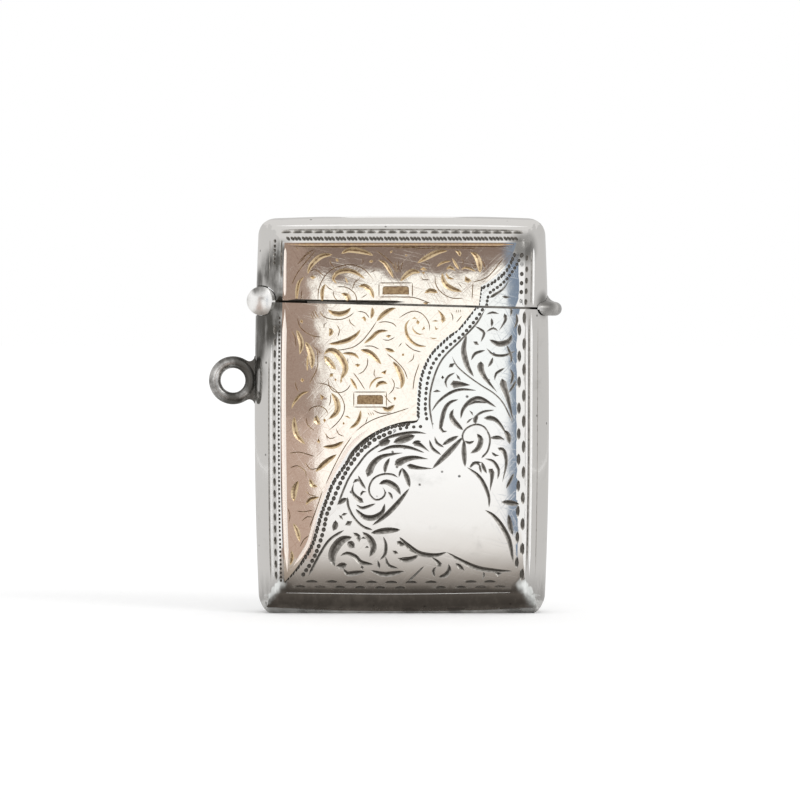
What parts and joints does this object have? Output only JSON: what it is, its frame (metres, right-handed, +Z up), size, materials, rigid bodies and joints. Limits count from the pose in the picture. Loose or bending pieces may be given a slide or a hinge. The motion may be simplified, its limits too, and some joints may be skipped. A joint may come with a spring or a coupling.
{
  "type": "vesta case",
  "caption": "Flat pocket match case of silver sheet with a rose gold front overlay, a side-hinged sprung lid, a suspension ring and a ribbed striker base.",
  "frame": {"origin": "middle of the flat base that the case stands on", "axes": "+Z up from the base to the lid, +X towards the thumb piece, -Y is the front with the gold overlay"},
  "size_m": [0.041, 0.0103, 0.046],
  "materials": {
    "silver": "polished",
    "rose_gold": "polished",
    "steel": "satin"
  },
  "bodies": {
    "case": {"front_shell": "silver", "back_shell": "silver", "base_plate": "silver", "front_gold_panel": "rose_gold", "mouth_collar": "silver", "body_hinge_leaf": "silver", "hinge_pin": "steel", "hinge_end_caps": "silver", "suspension_ring": "silver", "lid_spring": "steel", "spring_rivets": "steel"},
    "lid": {"lid_front_shell": "silver", "lid_back_shell": "silver", "lid_gold_panel": "rose_gold", "lid_hinge_leaf": "silver", "thumb_piece": "silver"}
  },
  "joints": [
    {"name": "lid_hinge", "type": "hinge", "parent": "case", "child": "lid", "pos_m": [-0.01624, 0, 0.0361], "axis": [0, -1, 0], "range_deg": [0, 110], "deforming": ["lid_spring"]}
  ]
}
